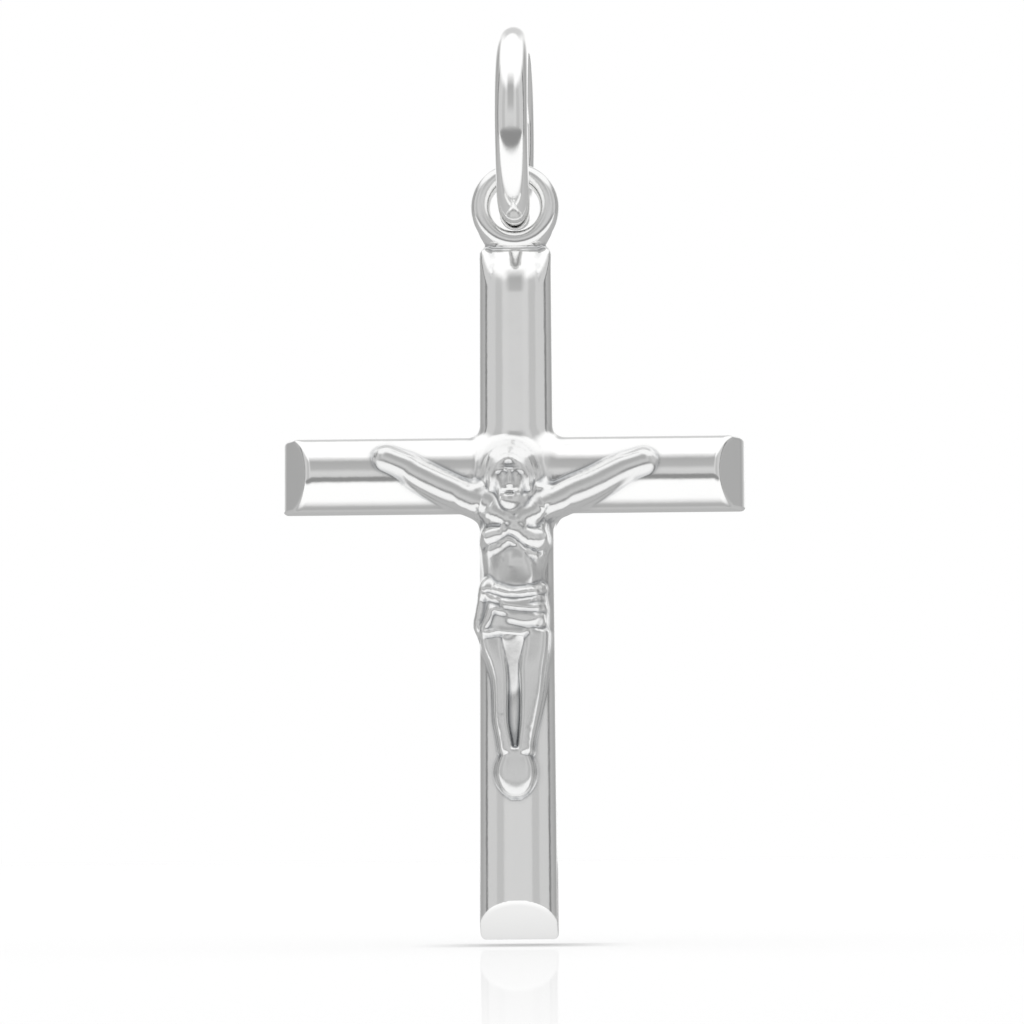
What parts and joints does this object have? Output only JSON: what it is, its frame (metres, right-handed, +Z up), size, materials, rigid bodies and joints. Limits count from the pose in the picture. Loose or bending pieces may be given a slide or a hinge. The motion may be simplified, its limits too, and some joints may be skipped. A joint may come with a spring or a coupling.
{
  "type": "crucifix pendant",
  "caption": "Silver crucifix pendant: a cross of domed bar with bevelled ends and a corpus in relief, hung by an eyelet on a round bail ring.",
  "frame": {"origin": "the chain seat: the highest point of the bail ring's inner side, where a chain bears, in the middle of the wire's width", "axes": "+Z up along the cross's upright, +X to the viewer's right along the arms, front with the corpus facing -Y"},
  "size_m": [0.0162, 0.0072, 0.032],
  "materials": {
    "crucifix_silver": "cast sterling silver, polished",
    "bail_silver": "drawn sterling silver wire, polished"
  },
  "bodies": {
    "bail": {"bail_ring": "bail_silver"},
    "pendant": {"crucifix": "crucifix_silver"}
  },
  "joints": [
    {"name": "crucifix_swing", "type": "hinge", "parent": "bail", "child": "pendant", "pos_m": [0, 0, -0.00525], "axis": [0, 1, 0], "range_deg": [-90, 90]}
  ]
}
